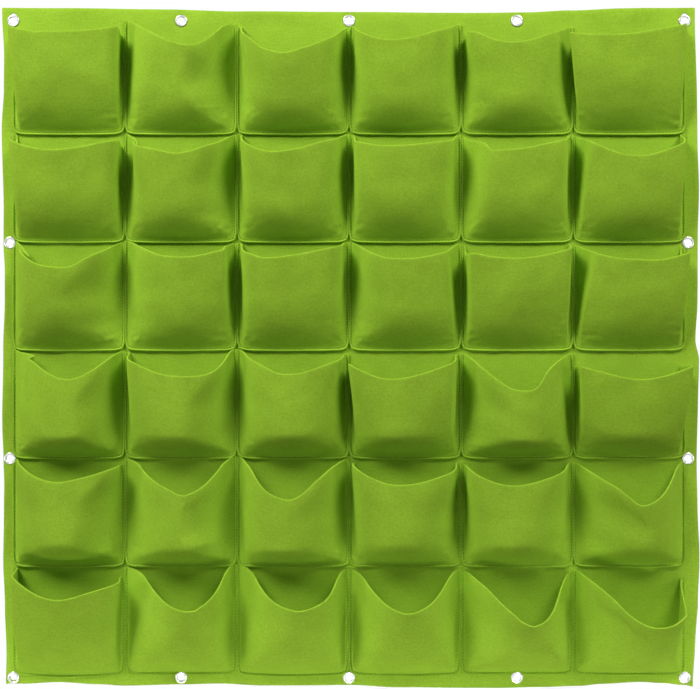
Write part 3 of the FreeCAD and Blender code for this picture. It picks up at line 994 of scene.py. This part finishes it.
@dataclass
class FeltPanel:
    """The back panel: a raw-cut square of the same felt, whose edges wave a little between its eyelets."""

    layout: Layout
    cell: float = 5.0
    seat_front: float = 0.4     # how deep the flanges press in
    seat_back: float = 1.0      # how deep the washers press in
    curl: float = 4.0           # how far an edge stands off the wall at most
    shift_reach: Place = (16.0, 20.0)   # how far in from a side edge and from a level edge its waves reach
    held_reach: Place = (10.0, 70.0)    # distances from an eyelet between which the edge comes free
    fine_reach: float = 17.0    # distance from an eyelet within which the grid is cut finer
    seat_reach: Place = (0.6, 5.5)      # distances out from the flange's rim between which the felt rises again
    # How far each edge leaves its straight line, by place along it
    top_edge: tuple[Place, ...] = (
        (-500, 6.5), (-415, 5.5), (-258, 4.0), (-157, 0.5), (0, 0.4), (175, -1.2), (261, 0.0), (319, 2.2), (391, 5.0),
        (500, 6.5))
    bottom_edge: tuple[Place, ...] = (
        (-500, 3.0), (-470, 3.0), (-417, 6.0), (-360, 3.0), (-323, 0.7), (-242, 2.0), (-186, 3.5), (-121, 0.7),
        (0, 1.2), (74, -1.7), (160, -2.5), (218, -3.0), (276, -1.7), (333, 0.4), (362, 3.5), (420, 6.0), (450, 4.0),
        (484, 1.0), (500, -1.0))
    left_edge: tuple[Place, ...] = (
        (-486, 5.0), (-435, 6.0), (-370, 4.0), (-305, 1.8), (-200, 3.0), (-158, 1.5), (-117, 0.4), (0, 2.0), (71, 4.0),
        (110, 4.0), (153, 1.5), (200, 2.0), (316, -1.0), (380, 2.5), (417, 3.0), (486, -0.5))
    right_edge: tuple[Place, ...] = (
        (-486, -4.0), (-420, -1.2), (-362, 3.0), (-305, 5.0), (-218, 1.5), (-160, 1.5), (-74, 3.0), (-16, 4.0),
        (13, -1.2), (70, 2.0), (157, 3.0), (230, 4.0), (310, 1.5), (360, 1.0), (486, -1.2))

    def edge_shift(self, x: float, z: float) -> Place:
        """How far a point near an edge moves along with it.

        Args:
            x: Across.
            z: Up.

        Returns:
            Shift across and up.
        """
        half_x, half_z = self.layout.panel_width / 2, self.layout.panel_height / 2
        near_x = smooth_step(half_x - self.shift_reach[0], half_x, abs(x))
        near_z = smooth_step(half_z - self.shift_reach[1], half_z, abs(z))
        across = along(self.right_edge, z) if x > 0 else along(self.left_edge, z)
        upward = along(self.top_edge, x) if z > 0 else along(self.bottom_edge, x)
        return (across * near_x, upward * near_z)

    def stand_off(self, x: float, z: float) -> float:
        """How far the felt stands off the wall, towards the viewer.

        Args:
            x: Across.
            z: Up.

        Returns:
            Distance off the wall.
        """
        half_x, half_z = self.layout.panel_width / 2, self.layout.panel_height / 2
        near = max(smooth_step(half_x - 18, half_x + 2, abs(x)), smooth_step(half_z - 22, half_z + 4, abs(z)))
        held = min(math.dist((x, z), place) for place in self.layout.all_eyelets())
        wave = 0.5 + 0.8 * noise.noise(Vector((x / 90, z / 90, 3.0)))
        return self.curl * near * smooth_step(*self.held_reach, held) * max(wave, 0.0)

    def punch(self, bm: bmesh.types.BMesh) -> None:
        """Cut a round hole for each eyelet.

        Args:
            bm: The panel's sheet, in metres.
        """
        hole = self.layout.bore / 2 + self.layout.barrel_wall + self.layout.clearance
        for x, z in self.layout.all_eyelets():
            near = [edge for edge in bm.edges
                    if all(math.dist((vert.co.x / MM, vert.co.z / MM), (x, z)) < self.fine_reach
                           for vert in edge.verts)]
            bmesh.ops.subdivide_edges(bm, edges=near, cuts=2, use_grid_fill=True)
            gone = [face for face in bm.faces
                    if math.dist((face.calc_center_median().x / MM, face.calc_center_median().z / MM), (x, z)) < hole]
            bmesh.ops.delete(bm, geom=gone, context="FACES")
            for vert in bm.verts:
                off = Vector((vert.co.x / MM - x, 0, vert.co.z / MM - z))
                if vert.is_boundary and off.length < hole + 3:
                    off *= hole / off.length
                    vert.co.x, vert.co.z = (x + off.x) * MM, (z + off.z) * MM

    def press_seats(self, bm: bmesh.types.BMesh) -> None:
        """Press the felt down under the flanges and the washers.

        Args:
            bm: The thick panel, in metres.
        """
        rim = self.layout.flange / 2
        for vert in bm.verts:
            held = min(math.dist((vert.co.x / MM, vert.co.z / MM), place) for place in self.layout.all_eyelets())
            pressed = 1 - smooth_step(rim + self.seat_reach[0], rim + self.seat_reach[1], held)
            if pressed > 0:
                front = vert.co.y < -self.layout.felt / 2 * MM
                vert.co.y += (self.seat_front if front else -self.seat_back) * pressed * MM

    def build(self, finish: bpy.types.Material) -> bpy.types.Object:
        """Make the panel.

        Args:
            finish: The felt's material.

        Returns:
            The panel's piece, which stands for its CAD node.
        """
        width, height = self.layout.panel_width, self.layout.panel_height
        bm = bmesh.new()
        bmesh.ops.create_grid(bm, x_segments=round(width / self.cell), y_segments=round(height / self.cell), size=1)
        for vert in bm.verts:
            vert.co = Vector((vert.co.x * width / 2, -self.layout.felt, vert.co.y * height / 2)) * MM
        self.punch(bm)
        for vert in bm.verts:
            x, z = vert.co.x / MM, vert.co.z / MM
            over, up = self.edge_shift(x, z)
            vert.co = Vector((x + over, -self.layout.felt - self.stand_off(x, z), z + up)) * MM
        thicken(bm, self.layout.felt)
        self.press_seats(bm)
        piece = finished_piece("felt_panel", bm, finish, 50)
        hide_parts("back_panel")
        [f"eyelet_rings_{edge}" for edge in self.layout.eyelets()]
        return piece


@dataclass
class SeamRow:
    """Stitches of one row of pockets: lockstitch seen on the hems, and its other side on the panel's back."""

    layout: Layout
    row: int
    pockets: list[FeltPocket]
    stitch: float = 3.4
    gap: float = 0.9
    thread: float = 0.9
    proud: float = 0.1          # how far a stitch's middle stands off the hem's face
    back: float = 0.05          # Y of the stitches' middles behind the panel
    segments: int = 6
    rings: int = 4

    def path(self, pocket: FeltPocket) -> list[tuple[Vector, Vector]]:
        """Middles and directions of the stitches of one pocket, on the face of its hem.

        Args:
            pocket: The pocket.

        Returns:
            Pairs of place and direction, from the left upper end round to the right.
        """
        middle, foot = self.layout.pocket_foot(self.row, pocket.column)
        line = [Vector((middle + x, self.layout.hem_front - depth, foot + z))
                for x, depth, z in pocket.seam(pocket.felt_body(), self.layout.seam_out)]
        clear = self.layout.flange / 2 + self.layout.clearance + self.stitch / 2
        return [(place, way) for place, way in strides(line, self.stitch + self.gap)
                if min(math.dist((place.x, place.z), eyelet) for eyelet in self.layout.all_eyelets()) > clear]

    def build(self, finish: bpy.types.Material) -> bpy.types.Object:
        """Make the row's stitches.

        Args:
            finish: The thread's material.

        Returns:
            The stitches' piece, which stands for its CAD node.
        """
        shape = bmesh.new()
        size = Matrix.Diagonal((self.stitch / 2, self.thread / 2, self.thread / 2, 1))
        bmesh.ops.create_uvsphere(shape, u_segments=self.segments, v_segments=self.rings, radius=MM, matrix=size)
        stitch = bpy.data.meshes.new("one_stitch")
        shape.to_mesh(stitch)
        shape.free()
        bm = bmesh.new()
        for pocket in self.pockets:
            for place, way in self.path(pocket):
                turn = Vector((1, 0, 0)).rotation_difference(way).to_matrix().to_4x4()
                for y in (place.y - self.proud, self.back):
                    put = Matrix.Translation(Vector((place.x, y, place.z)) * MM) @ turn
                    stitch.transform(put)
                    bm.from_mesh(stitch)
                    stitch.transform(put.inverted())
        bpy.data.meshes.remove(stitch)
        piece = finished_piece(f"stitches_row_{self.row + 1}", bm, finish, 80)
        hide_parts(f"stitching_row_{self.row + 1}")
        return piece


@dataclass
class Eyelets:
    """Two-piece eyelets of one edge: a domed flange on a barrel, rolled over a washer behind the felt."""

    layout: Layout
    edge: str
    places: list[Place]
    flange_thick: float = 0.6
    crown: float = 0.9
    seat: float = -2.1
    washer_front: float = -1.0
    washer_thick: float = 0.5
    washer_ease: float = 0.2
    curl_width: float = 1.4
    curl_height: float = 0.4
    arc_steps: int = 10
    spin_steps: int = 48

    def dome(self, inner: float, outer: float, base: float, height: float) -> list[Place]:
        """Half-round profile between two radii.

        Args:
            inner: Inner radius.
            outer: Outer radius.
            base: Y of its two ends.
            height: How far it bulges along Y.

        Returns:
            Pairs of radius and Y.
        """
        middle, half = (inner + outer) / 2, (outer - inner) / 2
        turns = [math.pi * step / self.arc_steps for step in range(self.arc_steps + 1)]
        return [(middle - half * math.cos(turn), base + height * math.sin(turn)) for turn in turns]

    def flange_profile(self) -> list[Place]:
        """Section of the flange, the barrel and its rolled end.

        Returns:
            Pairs of radius and Y round the closed profile.
        """
        bore = self.layout.bore / 2
        barrel, rim = bore + self.layout.barrel_wall, self.layout.flange / 2
        curl_base = self.washer_front + self.washer_thick
        front = self.dome(bore, rim, self.seat - self.flange_thick, -self.crown)
        curl = self.dome(bore, barrel + self.curl_width, curl_base, self.curl_height)
        return front + [(rim, self.seat), (barrel, self.seat), (barrel, curl_base)] + curl[::-1]

    def washer_profile(self) -> list[Place]:
        """Section of the washer, with its outer edge eased.

        Returns:
            Pairs of radius and Y round the closed profile.
        """
        hole = self.layout.bore / 2 + self.layout.barrel_wall + self.layout.clearance
        front, back, rim = self.washer_front, self.washer_front + self.washer_thick, self.layout.flange / 2
        ease = self.washer_ease
        return [(hole, front), (rim - ease, front), (rim, front + ease), (rim, back - ease), (rim - ease, back),
                (hole, back)]

    def turned(self, name: str, profile: list[Place], finish: bpy.types.Material, node: str) -> bpy.types.Object:
        """Spin a profile about each eyelet's axis.

        Args:
            name: Name of the piece.
            profile: Pairs of radius and Y, in order round the section.
            finish: The metal's material.
            node: CAD node that the piece stands for.

        Returns:
            The new piece.
        """
        bm = bmesh.new()
        for x, z in self.places:
            verts = [bm.verts.new(Vector((x + radius, y, z)) * MM) for radius, y in profile]
            edges = [bm.edges.new(pair) for pair in zip(verts, verts[1:] + verts[:1])]
            bmesh.ops.spin(bm, geom=verts + edges, cent=Vector((x, 0, z)) * MM, axis=(0, 1, 0), angle=2 * math.pi,
                           steps=self.spin_steps, use_merge=True)
        bmesh.ops.remove_doubles(bm, verts=bm.verts[:], dist=0.001 * MM)
        bmesh.ops.recalc_face_normals(bm, faces=bm.faces[:])
        piece = finished_piece(name, bm, finish, 45)
        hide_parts(node)
        return piece

    def build(self, finish: bpy.types.Material) -> list[bpy.types.Object]:
        """Make the edge's eyelets and washers.

        Args:
            finish: The metal's material.

        Returns:
            The eyelets' piece and the washers' piece, which stand for their CAD nodes.
        """
        rings = self.turned(f"eyelet_rings_{self.edge}", self.flange_profile(), finish, f"eyelets_{self.edge}_edge")
        backs = self.turned(f"eyelet_washers_{self.edge}", self.washer_profile(), finish, f"washers_{self.edge}_edge")
        return [rings, backs]


@dataclass(frozen=True)
class SoftBox:
    """A large soft lamp of a studio, aimed at the planter. Places and sizes are in metres."""

    name: str
    place: Point
    size: Place
    watts: float
    aim: Point = (0.0, 0.0, 0.0)
    spread: float = 180.0

    def build(self) -> None:
        """Hang the lamp."""
        light = bpy.data.lights.new(self.name, "AREA")
        light.shape = "RECTANGLE"
        light.size, light.size_y = self.size
        light.energy = self.watts
        light.spread = math.radians(self.spread)
        lamp = bpy.data.objects.new(self.name, light)
        lamp.location = self.place
        lamp.rotation_euler = (Vector(self.aim) - Vector(self.place)).to_track_quat("-Z", "Y").to_euler()
        bpy.context.scene.collection.objects.link(lamp)


@dataclass
class Studio:
    """Pale floor far below the hanging planter, white surroundings, soft lamps and the photograph's camera."""

    floor_height: float = -1.9
    floor_reach: Place = (1.1, 0.8)
    floor_grey: str = "#dcdcda"
    ambient: float = 0.035
    camera_place: Point = (0.0014, -1.9, 0.0065)
    lens: float = 67.67
    boxes: tuple[SoftBox, ...] = (
        SoftBox("high_left_soft_box", (-1.35, -1.3, 1.75), (1.0, 0.9), 52),
        SoftBox("high_right_soft_box", (1.3, -1.3, 1.75), (1.0, 0.9), 37),
        SoftBox("left_soft_box", (-2.6, -1.4, -0.3), (0.8, 1.0), 14),
        SoftBox("right_soft_box", (2.6, -1.4, -0.3), (0.8, 1.0), 13),
        SoftBox("front_soft_box", (-0.2, -2.6, -1.2), (1.8, 0.6), 6),
        SoftBox("low_soft_box", (0.0, -1.5, -1.5), (1.6, 0.3), 1.4, (0.0, 0.0, -0.6), 20),
        SoftBox("back_soft_box", (0.3, 2.6, 0.9), (1.6, 1.2), 70),
    )

    def build_floor(self) -> None:
        """Lay the floor."""
        bm = bmesh.new()
        bmesh.ops.create_grid(bm, x_segments=1, y_segments=1, size=1)
        for vert in bm.verts:
            vert.co = Vector((vert.co.x * self.floor_reach[0], vert.co.y * self.floor_reach[1], self.floor_height))
        mesh = bpy.data.meshes.new("studio_floor")
        bm.to_mesh(mesh)
        bm.free()
        material = blank_material("matt_floor_paint")
        tree = material.node_tree
        coords = add_node(tree, "ShaderNodeTexCoord").outputs["Object"]
        patches = add_node(tree, "ShaderNodeTexNoise", {}, {"Vector": coords, "Scale": per_metre(400)})
        rough = add_node(tree, "ShaderNodeMapRange", {}, {
            "Value": patches.outputs["Fac"], "To Min": 0.7, "To Max": 0.9})
        shader = add_node(tree, "ShaderNodeBsdfPrincipled", {}, {
            "Base Color": linear(self.floor_grey), "Roughness": rough.outputs[0]})
        add_node(tree, "ShaderNodeOutputMaterial", {}, {"Surface": shader.outputs[0]})
        mesh.materials.append(material)
        floor = bpy.data.objects.new("studio_floor", mesh)
        bpy.context.scene.collection.objects.link(floor)

    def build_world(self) -> None:
        """Surround everything with plain light that looks white behind the planter."""
        world = bpy.data.worlds.new("studio_white")
        bpy.context.scene.world = world
        world.use_nodes = True
        tree = world.node_tree
        tree.nodes.clear()
        rays = add_node(tree, "ShaderNodeLightPath")
        seen = add_node(tree, "ShaderNodeMath", {"operation": "MAXIMUM"}, {
            0: rays.outputs["Is Camera Ray"], 1: rays.outputs["Is Glossy Ray"]})
        seen = add_node(tree, "ShaderNodeMath", {"operation": "MAXIMUM"}, {
            0: seen.outputs[0], 1: rays.outputs["Is Transmission Ray"]})
        strength = add_node(tree, "ShaderNodeMapRange", {}, {
            "Value": seen.outputs[0], "To Min": self.ambient, "To Max": 1.0})
        sky = add_node(tree, "ShaderNodeBackground", {}, {
            "Color": (1.0, 1.0, 1.0, 1.0), "Strength": strength.outputs[0]})
        add_node(tree, "ShaderNodeOutputWorld", {}, {"Surface": sky.outputs[0]})

    def build_camera(self) -> None:
        """Stand the camera where the photograph was taken from."""
        data = bpy.data.cameras.new("photo_camera")
        data.lens = self.lens
        data.sensor_width = 36.0
        camera = bpy.data.objects.new("photo_camera", data)
        camera.location = self.camera_place
        camera.rotation_euler = (math.pi / 2, 0, 0)
        bpy.context.scene.collection.objects.link(camera)
        bpy.context.scene.camera = camera

    def build(self) -> None:
        """Set up the studio."""
        self.build_floor()
        self.build_world()
        for box in self.boxes:
            box.build()
        self.build_camera()
        bpy.context.scene.view_settings.view_transform = "Standard"


def main() -> None:
    """Build the planter piece by piece, then the studio round it."""
    logging.basicConfig(level=logging.INFO, format="%(name)s: %(message)s")
    layout = Layout()
    felt = NeedleFelt().material()
    thread = SewingThread().material()
    metal = PlatedSteel().material()
    FeltPanel(layout).build(felt)
    for row, drapes in enumerate(DRAPES):
        pockets = [FeltPocket(layout, drape, row, column) for column, drape in enumerate(drapes)]
        for pocket in pockets:
            pocket.build(felt)
        SeamRow(layout, row, pockets).build(thread)
    for edge, places in layout.eyelets().items():
        Eyelets(layout, edge, places).build(metal)
    Studio().build()


if __name__ == "__main__":
    main()
